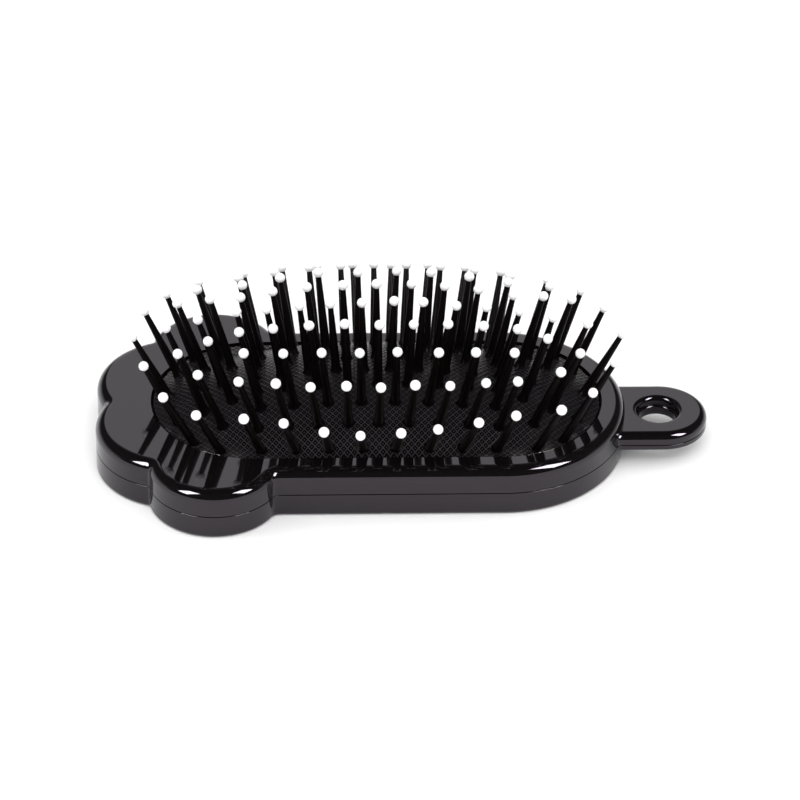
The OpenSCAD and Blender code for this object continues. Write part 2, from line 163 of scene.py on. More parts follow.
def principled(tree, values):
    return node(tree, "ShaderNodeBsdfPrincipled", {}, values)[0]


def to_output(tree, surface):
    node(tree, "ShaderNodeOutputMaterial", {}, {"Surface": surface})


def place(tree):
    """Position on the piece, in millimetres."""
    on_piece = node(tree, "ShaderNodeTexCoord", {}, {})[3]  # the Object output
    return node(tree, "ShaderNodeVectorMath", {"operation": "SCALE"},
                {0: on_piece, "Scale": 1 / MM})[0]


def noise(tree, spot, scale, detail):
    """Soft clouds between 0 and 1; a larger scale makes them smaller."""
    return node(tree, "ShaderNodeTexNoise", {},
                {"Vector": spot, "Scale": scale, "Detail": detail})[0]


def mix_colour(tree, mask, dark, light):
    """Dark where the mask is 0 and light where it is 1: sockets 6 and 7 are the colours."""
    return node(tree, "ShaderNodeMix", {"data_type": "RGBA"},
                {"Factor": mask, 6: (*dark, 1), 7: (*light, 1)})[2]


# %% [markdown]
# ## Moulded gloss plastic
# The shells are polished black plastic. It is nearly colourless, so what shows is what it
# mirrors. A plain black material would mirror too perfectly, and a picture of smudges would
# repeat. Here roughness is low with faint handling marks, where two kinds of clouds meet, and
# the surface has a very shallow waviness. The duller inner mouldings and the pins use the same
# recipe with other numbers.

# %% Plastics
PLUM = (1.0, 0.89, 1.03, 1)  # black pigment leaves a trace of plum in what the gloss mirrors
LIGHTER = 1.35  # fine clouds lighten the colour by up to this factor


def gloss_plastic(name, colour, rough, marks, wave, shine=0.5, index=1.5):
    """Marks say how far handling dulls the gloss, and wave how uneven the moulding is."""
    made, tree = material(name)
    spot = place(tree)
    cloud = noise(tree, spot, scale=0.09, detail=3.0)
    fine = noise(tree, spot, scale=1.3, detail=4.0)
    bump = node(tree, "ShaderNodeBump", {},
                {"Strength": wave, "Distance": 0.0002, "Height": cloud})
    to_output(tree, principled(tree, {
        "Base Color": mix_colour(tree, fine, colour, [c * LIGHTER for c in colour]),
        "Roughness": rough + marks * cloud * fine, "IOR": index, "Specular IOR Level": shine,
        "Specular Tint": PLUM, "Normal": bump[0]}))
    return made


gloss = gloss_plastic("gloss_black", (0.0030, 0.0024, 0.0026), rough=0.035, marks=0.05, wave=0.05)
inner = gloss_plastic("moulded_black", (0.0075, 0.0065, 0.0068), rough=0.28, marks=0.12, wave=0.1)
pin_black = gloss_plastic("pin_black", (0.0016, 0.0010, 0.0009), rough=0.34, marks=0.1, wave=0.0,
                          shine=0.3, index=1.2)
washer = gloss_plastic("washer_fibre", (0.03, 0.027, 0.024), rough=0.5, marks=0.2, wave=0.1)
print("plastics:", gloss.name, inner.name, pin_black.name, washer.name)

# %% [markdown]
# ## Rubber with a shiny lattice
# The cushion's rubber is dull in the field, where fine moulded grain scatters the light, and
# smooth on the ridges and dots of its lattice, which catch it. One finish with a changing
# roughness would leave a grey veil over the field. So field and ridge are two finishes, and a
# mask worked out from the position on the piece mixes them: it stays sharp close up, and it lies
# on the ridges that the mesh has. The ridges are also painted lighter than the field: a painted
# sheen that stands in for the light that they catch.

# %% A soft step, and the lattice as a mask
def smooth_step(tree, value, start, end):
    """0 before the start, 1 after the end, and a soft rise between them."""
    return node(tree, "ShaderNodeMapRange", {"interpolation_type": "SMOOTHSTEP"},
                {"Value": value, "From Min": start, "From Max": end,
                 "To Min": 0.0, "To Max": 1.0})[0]


CELL, LIFT = 1.05, 0.025  # the side of a cell and the height of its ridges
RIDGE_FADE = (0.07, 0.15)  # where a ridge's shine and its painted sheen start and end to fade, in cells from its line
DOT_FADE = (0.012, 0.035)  # the same for a dot, as squares of the distance from its middle


def lattice_mask(tree, spot):
    """1 on the ridges and centre dots of the diamond lattice, 0 in the field between them."""
    x, y, _ = node(tree, "ShaderNodeSeparateXYZ", {}, {0: spot})
    across = (x - PAD_MID) * (1 / (CELL * math.sqrt(2)))
    along = y * (1 / (CELL * math.sqrt(2)))
    u = maths("PINGPONG", across - along, 0.5)
    v = maths("PINGPONG", across + along, 0.5)
    ridge = 1.0 - smooth_step(tree, maths("MINIMUM", u, v), *RIDGE_FADE)
    off_middle = (0.5 - u) * (0.5 - u) + (0.5 - v) * (0.5 - v)
    dot = 1.0 - smooth_step(tree, off_middle, *DOT_FADE)
    return maths("MAXIMUM", ridge, dot)


print("lattice: cells of", CELL, "mm, with ridges", LIFT, "mm high")

# %% Rubber
def rubber_skin():
    made, tree = material("black_rubber")
    spot = place(tree)
    fine = noise(tree, spot, scale=2.2, detail=5.0)
    field = principled(tree, {
        "Base Color": (0.0011, 0.0009, 0.0010, 1), "Roughness": 0.45 + 0.14 * fine,
        "IOR": 1.01})
    # The ridges' base colour is painted far lighter than the field's: a painted sheen for the
    # light that the ridges catch.
    ridge = principled(tree, {
        "Base Color": (0.023, 0.0210, 0.0235, 1), "Roughness": 0.1 + 0.08 * fine,
        "IOR": 1.5, "Specular IOR Level": 0.5, "Specular Tint": (1.0, 0.93, 0.86, 1)})
    to_output(tree, node(tree, "ShaderNodeMixShader", {}, {
        0: lattice_mask(tree, spot), 1: field, 2: ridge})[0])
    return made


rubber = rubber_skin()
print("nodes in the rubber:", len(rubber.node_tree.nodes))

# %% [markdown]
# ## Balls, steel, tape and mirror
# These finishes differ in colour, roughness and metal, and each is a little uneven, as real ones
# are. Each could have a recipe of its own, but one function can serve all of them: clouds of one
# size shift colour and roughness together. The enamel of the balls lets a little light in, which
# softens their dark side. The mirror is a smooth metal under a clear coat, which looks like
# silvered glass and renders faster than real layers would.

# %% Balls, steel, tape and mirror
def clouded(name, clouds, dark, light, rough, spread, more):
    """Clouds are a scale and a detail, and more holds the values that stay the same all over."""
    made, tree = material(name)
    cloud = noise(tree, place(tree), *clouds)
    to_output(tree, principled(tree, {
        "Base Color": mix_colour(tree, cloud, dark, light),
        "Roughness": rough + spread * cloud, **more}))
    return made


white = clouded("tip_white", (0.8, 2.0), (0.94, 0.94, 0.95), (0.97, 0.97, 0.97), 0.28, 0.1,
                {"Subsurface Weight": 0.15, "Subsurface Radius": (0.0008, 0.0008, 0.0008)})
steel = clouded("steel", (6.0, 4.0), (0.42, 0.42, 0.43), (0.6, 0.6, 0.6), 0.26, 0.2,
                {"Metallic": 1.0})
tape = clouded("tape", (3.0, 4.0), (0.62, 0.6, 0.54), (0.74, 0.72, 0.66), 0.7, 0.2, {})
mirror = clouded("mirror", (0.12, 3.0), (0.84, 0.87, 0.86), (0.88, 0.9, 0.89), 0.006, 0.012,
                 {"Metallic": 1.0, "Coat Weight": 0.4, "Coat Roughness": 0.02})
print("materials:", len(bpy.data.materials))

# %% [markdown]
# ## The outline as arcs
# The paw's outline is arcs that run smoothly into each other. It could be drawn as a curve with
# handles, but the solids are made of true arcs, and a hand-drawn curve would miss them by a
# little everywhere. Each point here also keeps the direction that it faces, so a smaller outline
# is the same points moved back along those directions.

# %% Points and directions along the paw's outline
STEP, FEWEST = 0.45, 6  # the length of a step in mm, and the fewest steps on an arc


def directions(angles):
    return np.stack([np.cos(angles), np.sin(angles)], 1)


def arc(centre, radius, start, end, hollow=False):
    """Points on an arc and the way that the body's side faces there."""
    count = max(FEWEST, int(abs(end - start) * radius / STEP))
    facing = directions(np.linspace(start, end, count + 1))
    return np.array(centre) + radius * facing, -facing if hollow else facing


def heading(a, b):
    return math.atan2(b[1] - a[1], b[0] - a[0])


def leg(hypotenuse, other):
    return math.sqrt(hypotenuse ** 2 - other ** 2)


def web_centre(a, ra, b, rb, web):
    """Middle of the hollow arc of radius web that touches two round toes."""
    a, b = np.array(a), np.array(b)
    apart = np.linalg.norm(b - a)
    along = (apart ** 2 + (ra + web) ** 2 - (rb + web) ** 2) / (2 * apart)
    unit = (b - a) / apart
    return a + unit * along + np.array((-unit[1], unit[0])) * leg(ra + web, along)


def turn_to(start, end, forwards):
    """The end angle, whole turns on or back, so that the arc runs the asked way round."""
    while forwards and end < start:
        end += TAU
    while not forwards and end > start:
        end -= TAU
    return end


WEB_TOE = web_centre(OUTER_TOE, OUTER_TOE_R, SIDE_TOE, SIDE_TOE_R, WEB_TOE_R)
WEB_SIDE = (SIDE_TOE[0] + leg(SIDE_TOE_R + WEB_SIDE_R, HALF_W + WEB_SIDE_R - SIDE_TOE[1]),
            HALF_W + WEB_SIDE_R)
WEB_MID = (OUTER_TOE[0] - leg(OUTER_TOE_R + WEB_MID_R, OUTER_TOE[1]), 0.0)
print("webs at", np.round([WEB_SIDE, WEB_TOE, WEB_MID], 2).tolist(), "mm")

# %% The whole outline: one half, and its mirror image
def paw_outline():
    parts = [arc((END_X, 0), HALF_W, 0, math.pi / 2)]
    count = int((END_X - WEB_SIDE[0]) / STEP)
    side = np.stack([np.linspace(END_X, WEB_SIDE[0], count + 1), np.full(count + 1, HALF_W)], 1)
    parts.append((side, np.tile((0.0, 1.0), (count + 1, 1))))
    bends = [(WEB_SIDE, WEB_SIDE_R, None, SIDE_TOE), (SIDE_TOE, SIDE_TOE_R, WEB_SIDE, WEB_TOE),
             (WEB_TOE, WEB_TOE_R, SIDE_TOE, OUTER_TOE), (OUTER_TOE, OUTER_TOE_R, WEB_TOE, WEB_MID),
             (WEB_MID, WEB_MID_R, OUTER_TOE, (WEB_MID[0] + 1, 0))]
    for k, (centre, radius, came_from, goes_to) in enumerate(bends):
        hollow = k % 2 == 0
        start = -math.pi / 2 if came_from is None else heading(centre, came_from)
        end = turn_to(start, heading(centre, goes_to), not hollow)
        parts.append(arc(centre, radius, start, end, hollow))
    points = np.concatenate([p[:-1] for p, _ in parts] + [parts[-1][0][-1:]])
    facing = np.concatenate([f[:-1] for _, f in parts] + [parts[-1][1][-1:]])
    flip = np.array((1, -1))
    return (np.concatenate([points, (points * flip)[::-1][1:-1]]),
            np.concatenate([facing, (facing * flip)[::-1][1:-1]]))


outline, outline_facing = paw_outline()
print("outline points:", len(outline), "over", np.round(np.ptp(outline, axis=0), 2), "mm")

# %% [markdown]
# ## Skins from rings
# A shell could be a block with a Bevel modifier and a Solidify modifier, but its roundings would
# then depend on how the modifiers meet at the toes. Here it is drawn as rings of points: up the
# wall, round the edge, across the top, down the window and back along the inside. Joining each
# ring to the next gives clean four-sided faces, and joining the last to the first closes it.

# %% Rings, and what turns them into faces
def ring(points, z):
    return np.column_stack([points, np.full(len(points), z)])


def inset(depth):
    return outline - depth * outline_facing


def to_pad(points, radius):
    """The point of an obround round the cushion's middle line that lies towards each point."""
    on_line = np.column_stack([np.clip(points[:, 0], PAD_LEFT, PAD_RIGHT), np.zeros(len(points))])
    away = points - on_line
    return on_line + radius * away / np.linalg.norm(away, axis=1)[:, None]


def rounding(radius, start, end, steps):
    """Offsets (in, up) along a quarter round, from one angle to another."""
    angles = np.radians(np.linspace(start, end, steps + 1))
    return [(radius * (1 - math.cos(a)), radius * (math.sin(a) - 1)) for a in angles]


def quads_between(rings, count, closed):
    faces = []
    total = len(rings)
    for k in range(total if closed else total - 1):
        a, b = k * count, (k + 1) % total * count
        faces += [(a + j, a + (j + 1) % count, b + (j + 1) % count, b + j) for j in range(count)]
    return faces


print("outline inside the wall:", np.round(np.ptp(inset(WALL), axis=0), 2), "mm")

# %% Meshes and their shading
MERGE = 0.001  # points nearer than this become one, in mm


def tidy_mesh(piece, sharp=35):
    """Outward faces, smooth shading, and creases where faces meet at more than an angle."""
    work = bmesh.new()
    work.from_mesh(piece.data)
    bmesh.ops.remove_doubles(work, verts=work.verts, dist=MERGE * MM)
    bmesh.ops.recalc_face_normals(work, faces=work.faces)
    work.to_mesh(piece.data)
    work.free()
    piece.data.shade_smooth()
    piece.data.set_sharp_from_angle(angle=math.radians(sharp))


def mesh_piece(name, verts, faces, finish, sharp=35):
    mesh = bpy.data.meshes.new(name)
    mesh.from_pydata((np.asarray(verts) * MM).tolist(), [], faces)
    mesh.materials.append(finish)
    mesh.validate()
    piece = bpy.data.objects.new(name, mesh)
    bpy.context.scene.collection.objects.link(piece)
    tidy_mesh(piece, sharp)
    return piece


def solid_of_rings(name, rings, finish, closed=True):
    """Closed joins the last ring to the first; an open row of rings gets a lid at each end."""
    count = len(rings[0])
    faces = quads_between(rings, count, closed)
    if not closed:
        last = (len(rings) - 1) * count
        faces += [tuple(range(count)), tuple(range(last, last + count))]
    return mesh_piece(name, np.concatenate(rings), faces, finish)


def weigh_normals(piece):
    """Large flat faces decide the shading where they meet small ones."""
    weigh = piece.modifiers.new("weighted", "WEIGHTED_NORMAL")
    weigh.keep_sharp = True
    weigh.weight = 50


# %% The upper shell, without the ring tab
SOFT = 0.012  # every moulded edge is broken a little
NEAR = 0.03  # a ring this near an edge keeps the flat beside it flat
WINDOW_EDGE = 0.06  # the window's upper edge is rounded a little more


def upper_rings():
    rings = [ring(inset(SOFT), UPPER_BOTTOM), ring(inset(0), UPPER_BOTTOM + SOFT),
             ring(inset(0), BODY_TOP - TOP_ROUND - NEAR)]
    rings += [ring(inset(d), BODY_TOP + up) for d, up in rounding(TOP_ROUND, 0, 90, steps=18)]
    rings += [ring(inset(TOP_ROUND + NEAR), BODY_TOP),
              ring(to_pad(outline, WINDOW_R + WINDOW_EDGE + NEAR), BODY_TOP)]
    rings += [ring(to_pad(outline, WINDOW_R + d), BODY_TOP + up)
              for d, up in rounding(WINDOW_EDGE, 90, 0, steps=5)]
    rings += [ring(to_pad(outline, WINDOW_R), RIM_Z), ring(inset(WALL + NEAR), RIM_Z),
              ring(inset(WALL), RIM_Z - NEAR), ring(inset(WALL), UPPER_BOTTOM + SOFT),
              ring(inset(WALL - SOFT), UPPER_BOTTOM)]
    return rings


upper = solid_of_rings("upper_shell", upper_rings(), gloss)
print("upper shell faces:", len(upper.data.polygons))

# %% [markdown]
# ## The ring tab
# The tab carries the ring and the pivot. It runs into the round end with a small fillet on each
# side, which a plain cylinder joined to the shell wouldn't have. So the tab is a second set of
# rings, from its outline with both fillets to its hole. Its inner end lies inside the wall of
# the round end, and a boolean makes one solid of tab and shell.

# %% Outline of the tab
TAB_HOLD = 1.0  # the tab's inner end lies this deep in the round end
TAB_BITE = 0.02  # the fillets cut this far into the round end, where they would just touch it
FILLET_POINTS, END_POINTS, INNER_POINTS = 17, 81, 25


def tab_outline(round_in):
    """The tab's outline at one inset, ending inside the round end's wall."""
    web = (END_X + leg(HALF_W + TAB_WEB_R, TAB_HALF_W + TAB_WEB_R), TAB_HALF_W + TAB_WEB_R)
    radius = TAB_WEB_R + round_in + TAB_BITE
    hold, apart = HALF_W - TAB_HOLD, HALF_W + TAB_WEB_R  # the inner end lies on the circle of hold
    late = math.acos(min(1.0, (apart ** 2 + radius ** 2 - hold ** 2) / (2 * apart * radius)))
    start = turn_to(-math.pi / 2, heading(web, (END_X, 0)), False) + late
    fillet = np.array(web) + radius * directions(np.linspace(start, -math.pi / 2, FILLET_POINTS))
    half_w = TAB_HALF_W - round_in
    along = np.linspace(web[0], TAB_END_X, FILLET_POINTS)[1:-1]
    run = np.stack([along, np.full(len(along), half_w)], 1)
    turn = np.linspace(math.pi / 2, -math.pi / 2, END_POINTS)
    end = np.array((TAB_END_X, 0)) + half_w * directions(turn)
    reach = math.atan2(fillet[0][1], fillet[0][0] - END_X)
    inner_end = np.array((END_X, 0)) + hold * directions(np.linspace(-reach, reach, INNER_POINTS))
    flip = np.array((1, -1))
    return np.concatenate([fillet, run, end, (run * flip)[::-1], (fillet * flip)[::-1], inner_end])


whole_tab = tab_outline(0)
print("tab reaches to", round(float(whole_tab[:, 0].max()), 2), "mm")

# %% The upper tab with the ring's mouth
UPPER_FIT = 0.02  # room round the bush


def round_hole(radius):
    """The tab's outline drawn in to a circle about the pivot, point for point."""
    away = whole_tab - np.array((HOLE_X, 0))
    return np.array((HOLE_X, 0)) + radius * away / np.linalg.norm(away, axis=1)[:, None]


def upper_tab_rings():
    rings = [ring(tab_outline(SOFT), UPPER_BOTTOM), ring(whole_tab, UPPER_BOTTOM + SOFT),
             ring(whole_tab, TAB_TOP - TAB_ROUND - NEAR)]
    rings += [ring(tab_outline(d), TAB_TOP + up) for d, up in rounding(TAB_ROUND, 0, 90, steps=16)]
    edge = tab_outline(TAB_ROUND + NEAR)
    mouth = round_hole(MOUTH_R + HOLE_ROUND + NEAR)
    shares = np.linspace(0, 1, 9)  # rings across the flat, from its edge to the mouth
    rings += [ring(edge + share * (mouth - edge), TAB_TOP) for share in shares]
    rings += [ring(round_hole(MOUTH_R + d), TAB_TOP + up)
              for d, up in rounding(HOLE_ROUND, 90, 0, steps=10)]
    rings += [ring(round_hole(MOUTH_R), BUSH_TOP), ring(round_hole(BUSH_R + UPPER_FIT), BUSH_TOP),
              ring(round_hole(BUSH_R + UPPER_FIT), UPPER_BOTTOM)]
    return rings


upper_tab = solid_of_rings("upper_tab", upper_tab_rings(), gloss)
print("upper tab faces:", len(upper_tab.data.polygons))

# %% Join tab and shell
def combine(piece, other, operation):
    """Applies an exact boolean, and removes the other piece."""
    step = piece.modifiers.new("combine", "BOOLEAN")
    step.operation, step.solver, step.object = operation, "EXACT", other
    graph = bpy.context.evaluated_depsgraph_get()
    done = bpy.data.meshes.new_from_object(piece.evaluated_get(graph))
    piece.modifiers.remove(step)
    piece.data = done
    bpy.data.objects.remove(other)


combine(upper, upper_tab, "UNION")
tidy_mesh(upper)
weigh_normals(upper)
print("upper shell with tab faces:", len(upper.data.polygons))

# %% [markdown]
# ## The lower shell
# The lower half is a shallow tray with the same outline and a tab of its own, with a seat for
# the bush's flange. The same rings serve: the bottom closes in towards the middle instead of
# leaving a window. A nail notch in the front lower edge, where a thumb pulls the halves apart,
# is a shallow arc, so a wide cylinder scoops it out.

# %% The tray
CORE_R = 0.6  # both sides of the floor close in a slim obround of this radius


def lower_rings():
    rings = [ring(to_pad(outline, CORE_R), 0), ring(inset(BOTTOM_ROUND + NEAR), 0)]
    rings += [ring(inset(d), -up) for d, up in rounding(BOTTOM_ROUND, 90, 0, steps=8)]
    rings += [ring(inset(0), BOTTOM_ROUND + NEAR), ring(inset(0), LOWER_TOP - SOFT),
              ring(inset(SOFT), LOWER_TOP), ring(inset(WALL - SOFT), LOWER_TOP),
              ring(inset(WALL), LOWER_TOP - SOFT), ring(inset(WALL), FLOOR_Z),
              ring(to_pad(outline, CORE_R), FLOOR_Z)]
    return rings


lower = solid_of_rings("lower_shell", lower_rings(), gloss, closed=False)
print("tray faces:", len(lower.data.polygons))

# %% The lower tab with the seat of the bush
TAB_EDGE = 0.4
FLANGE_R, SEAT_DEPTH = BUSH_R + 1.25, 0.5
LOWER_FIT, SEAT_FIT = 0.06, 0.1  # room round the bush, and round its flange


def lower_tab_rings():
    hole, seat = BUSH_R + LOWER_FIT, FLANGE_R + SEAT_FIT
    rings = [ring(tab_outline(d), TAB_BOTTOM - up) for d, up in rounding(TAB_EDGE, 90, 0, steps=6)]
    rings += [ring(whole_tab, LOWER_TOP - SOFT), ring(tab_outline(SOFT), LOWER_TOP),
              ring(round_hole(hole), LOWER_TOP), ring(round_hole(hole), TAB_BOTTOM + SEAT_DEPTH),
              ring(round_hole(seat), TAB_BOTTOM + SEAT_DEPTH), ring(round_hole(seat), TAB_BOTTOM)]
    return rings


combine(lower, solid_of_rings("lower_tab", lower_tab_rings(), gloss), "UNION")
print("tray with tab faces:", len(lower.data.polygons))

# %% The nail notch
NOTCH_X, NOTCH_W, NOTCH_H = PAD_MID + 1.2, 6.0, 0.45
NOTCH_ENDS = (-HALF_W - 1.6, -HALF_W + 2.4)  # from in front of the wall to behind it


def nail_notch():
    """A lying cylinder whose top cuts the bottom's plane over the notch's width."""
    scoop_r = (NOTCH_W ** 2 / 4 + NOTCH_H ** 2) / (2 * NOTCH_H)
    turn = np.linspace(0, TAU, 361)[:-1]
    x = NOTCH_X + scoop_r * np.sin(turn)
    z = NOTCH_H - scoop_r + scoop_r * np.cos(turn)
    rings = [np.column_stack([x, np.full(len(turn), y), z]) for y in NOTCH_ENDS]
    return solid_of_rings("scoop", rings, gloss, closed=False)


combine(lower, nail_notch(), "DIFFERENCE")
tidy_mesh(lower)
weigh_normals(lower)
print("lower shell faces:", len(lower.data.polygons))

# %% [markdown]
# ## The cushion
# The cushion is a crowned rubber skin with a raised diamond lattice of flat-topped ridges and a
# small dot in each cell. A bump map could fake the lattice, but its edges would stay straight
# against the light and an exported mesh would lose it. So the lattice is real relief: a grid
# turned by 45 degrees, with mesh lines just where ridges and dots rise and fall.

# %% The rubber's height
RIM_DROP = 0.4  # the rubber sinks no further than about this below the frame's top
BLEND = 0.2  # how gently crown and rim run into each other, in square mm


def crown_at(x, y):
    across = np.sqrt(np.maximum(CROWN_RY ** 2 - y ** 2, 0))
    return CROWN_Z - CROWN_RX + np.sqrt((CROWN_RX - CROWN_RY + across) ** 2 - (x - PAD_MID) ** 2)


def skin_at(x, y):
    """The crown, but never much below the frame's top: the rubber bulges up to the window."""
    crown, least = crown_at(x, y), BODY_TOP - RIM_DROP
    return (crown + least + np.sqrt((crown - least) ** 2 + BLEND)) / 2


print("rubber rises from", round(float(skin_at(PAD_MID, PAD_R)), 2), "to",
      round(float(skin_at(PAD_MID, 0)), 2), "mm")

# %% The relief in one cell
CELL_STEPS = np.array((0, 0.07, 0.14, 0.34, 0.5, 0.66, 0.86, 0.93))  # mesh lines across a cell
RIDGE_TOP, RIDGE_FOOT = 0.07, 0.14  # from the cell's edge, as shares of its side
DOT_R, DOT_HEIGHT = 0.2, 0.5  # radius as a share of the cell, height as a share of a ridge's


def relief(u, v):
    """Height of the lattice at a place in its cell, from 0 in the field to 1 on a ridge."""
    edge = np.minimum(np.minimum(u, 1 - u), np.minimum(v, 1 - v))
    ridge = np.clip((RIDGE_FOOT - edge) / (RIDGE_FOOT - RIDGE_TOP), 0, 1)
    dot = np.clip(1 - np.hypot(u - 0.5, v - 0.5) / DOT_R, 0, 1)
    return np.maximum(ridge, DOT_HEIGHT * dot)


PATCH = 80.0  # lattice is laid out this far each way, in mm, and then cut to the pad


def lattice_grid():
    """Places on the table and heights from 0 to 1, of a square of lattice turned by 45 degrees."""
    reach = int(PATCH / CELL)
    ticks = np.concatenate([(k + CELL_STEPS) * CELL for k in range(-reach, reach)])
    part = np.concatenate([CELL_STEPS] * (2 * reach))
    a, b = np.meshgrid(ticks, ticks, indexing="ij")
    u, v = np.meshgrid(part, part, indexing="ij")
    x = (a + b) / math.sqrt(2) + PAD_MID
    y = (b - a) / math.sqrt(2)
    return x, y, relief(u, v)


print("mesh lines across a cell:", len(CELL_STEPS))

# %% The skin, cut to the pad
TOP_R = PAD_R - 0.35  # the grid ends here, and the skirt goes down from it
PLAIN_EDGE, FADE_IN = 0.5, 0.5  # the rim stays plain this far, and the lattice rises over this


def build_cushion():
    x, y, height = lattice_grid()
    on_line = np.clip(x, PAD_LEFT, PAD_RIGHT)
    out = np.hypot(x - on_line, y)
    inside = out < TOP_R
    keep = inside[:-1, :-1] | inside[1:, :-1] | inside[:-1, 1:] | inside[1:, 1:]
    scale = np.where(inside, 1, TOP_R / np.maximum(out, 1e-6))
    x, y = on_line + (x - on_line) * scale, y * scale
    fade = np.clip((TOP_R - out - PLAIN_EDGE) / FADE_IN, 0, 1)
    z = skin_at(x, y) + LIFT * (height * fade - 1)
    used = np.zeros(x.shape, bool)
    for shift in ((0, 0), (1, 0), (0, 1), (1, 1)):
        used[shift[0]:shift[0] + keep.shape[0], shift[1]:shift[1] + keep.shape[1]] |= keep
    number = np.cumsum(used.ravel()).reshape(used.shape) - 1
    i, j = np.nonzero(keep)
    faces = np.stack([number[i, j], number[i + 1, j], number[i + 1, j + 1], number[i, j + 1]], 1)
    verts = np.stack([x[used], y[used], z[used]], 1)
    return verts, faces


skin_verts, skin_faces = build_cushion()
cushion = mesh_piece("cushion_skin", skin_verts, skin_faces.tolist(), rubber, sharp=180)
print("skin faces:", len(cushion.data.polygons))

# %% The skirt that closes the cushion
SKIRT = ((0.1, 0.12), (0.2, 0.35), (0.25, 0.8), (0.25, 3.0))  # steps out and down from the rim
SKIRT_END_Z = 8.3
RIM_MERGE, SLIVER = 0.02, 1e-4  # in mm and square mm: what the cut at the rim leaves too small


def close_cushion(piece):
    """Merges the clamped rim, then draws a rounded skirt down from it and closes it below."""
    work = bmesh.new()
    work.from_mesh(piece.data)
    bmesh.ops.remove_doubles(work, verts=work.verts, dist=RIM_MERGE * MM)
    thin = [f for f in work.faces if f.calc_area() < SLIVER * MM * MM]
    bmesh.ops.delete(work, geom=thin, context="FACES")
    for out, down in SKIRT:
        rim = [e for e in work.edges if e.is_boundary]
        grown = bmesh.ops.extrude_edge_only(work, edges=rim)
        for v in (g for g in grown["geom"] if isinstance(g, bmesh.types.BMVert)):
            line_x = min(max(v.co.x, PAD_LEFT * MM), PAD_RIGHT * MM)
            away = Vector((v.co.x - line_x, v.co.y, 0))
            away *= (TOP_R + out) * MM / away.length
            v.co.x, v.co.y = line_x + away.x, away.y
            surface = float(skin_at(v.co.x / MM, v.co.y / MM)) * MM
            v.co.z = max(SKIRT_END_Z * MM, surface - (down + LIFT) * MM)
    bmesh.ops.contextual_create(work, geom=[e for e in work.edges if e.is_boundary])
    work.to_mesh(piece.data)
    work.free()


close_cushion(cushion)
tidy_mesh(cushion, sharp=60)
print("cushion faces:", len(cushion.data.polygons))

# %% [markdown]
# ## Pins and balls
# Each pin is turned: a flared root, a slender taper and a ball of white enamel on its end. The
# pins fan out over the crown by one rule. Copies of one pin would be quick to lay out, but real
# pins never stand quite true. So each pin is bent and leans by a small seeded amount of its own,
# and each ball swells a little. They are grouped by row, as the nodes that they replace are.

# %% Where the pins stand
ROW_PINS = [10, 9, 8, 9, 8]  # in the middle row and in each row further out
END_PINS = [7, 5, 3]  # in each column of an end, from the rows outwards
ROW_PITCH, ROW_BOW = 5.0, 0.09
END_PITCH, END_REACH, STAGGER = 5.7, 19.2, 1.0
FIRST_COLUMN = (PAD_RIGHT - PAD_LEFT) / 2 + END_PITCH


def row_spots(i):
    count = ROW_PINS[abs(i)]
    places = (np.arange(1, count + 1) * 2 / (count + 1) - 1) * FIRST_COLUMN
    return [(PAD_MID + dx, i * ROW_PITCH * (1 - ROW_BOW * (dx / FIRST_COLUMN) ** 2))
            for dx in places]


def end_spots(side):
    """The pins beside the middle one stand a little further in, all others further out."""
    spots = []
    for k, count in enumerate(END_PINS):
        half, out = count // 2, (k + 1) * END_PITCH
        step = leg(END_REACH, out) / half
        for j in range(-half, half + 1):
            reach = out + (-STAGGER if abs(j) == 1 else STAGGER)
            spots.append(((PAD_RIGHT if side > 0 else PAD_LEFT) + side * reach, j * step))
    return spots


print("spots in the middle row:", len(row_spots(0)), "and on an end:", len(end_spots(1)))

# %% How far a pin leans
LEAN_X, LEAN_X_END = 1.155, 0.16  # times the crown's slope, and what an end adds
LEAN_Y, LEAN_Y_EDGE = 1.02, 0.39  # the same across the rows, and what the outer rows add
LEAN_Y_END = 0.37  # the share of it that an end takes away


def lean(x, y):
    """The sines of a pin's lean along and across the rows."""
    dx, steep = x - PAD_MID, abs(y) / CROWN_RY
    far = (dx / FIRST_COLUMN) ** 2
    return (dx / CROWN_RX * (LEAN_X + LEAN_X_END * far),
            y / CROWN_RY * (LEAN_Y + LEAN_Y_EDGE * steep) * (1 - LEAN_Y_END * far))


print("sine of the lean in the outer rows:", round(lean(PAD_MID, 4 * ROW_PITCH)[1], 3))

# %% A pin and a ball, turned
PIN_L, PIN_ROOT_R, PIN_TOP_R, BALL_R, FLARE_R = 17.0, 0.95, 0.58, 1.0, 1.25
BALL_STRETCH = 1.06  # how much taller than the solid's ball; the dice widen each one
# radius and height of a pin's rings, from below the skin to inside the ball
PIN_PROFILE = [(0.75, -0.4), (FLARE_R + 0.1, -0.05), (FLARE_R, 0.2), (1.12, 0.5), (1.02, 1.0),
               (PIN_ROOT_R, 1.65), (0.92, 4.5), (0.84, 7.5), (0.75, 10.5), (0.66, 13.5),
               (PIN_TOP_R, PIN_L - 0.9), (PIN_TOP_R, PIN_L - 0.4)]


def ball_profile():
    """Radius and height from the neck to the crown of a ball round the pin's end."""
    angles = np.radians(np.arange(22, 180, 12))  # the belly starts at the neck, 22 degrees up
    belly = [(BALL_R * math.sin(a), PIN_L - BALL_R * math.cos(a)) for a in angles]
    whole = [(0.02, PIN_L - 0.93), *belly, (0.03, PIN_L + BALL_R)]
    return [(r, PIN_L + BALL_STRETCH * (z - PIN_L)) for r, z in whole]


def unit_circle(sides):
    return directions(np.arange(sides) * TAU / sides)


def turned(profile, sides):
    """Verts and faces of a profile (radius, height) turned about z, closed at both ends."""
    circle = unit_circle(sides)
    verts = np.concatenate([np.column_stack([r * circle, np.full(sides, z)]) for r, z in profile])
    faces = quads_between(profile, sides, False)
    last = (len(profile) - 1) * sides
    faces += [tuple(range(sides)), tuple(range(last, last + sides))]
    return verts, faces


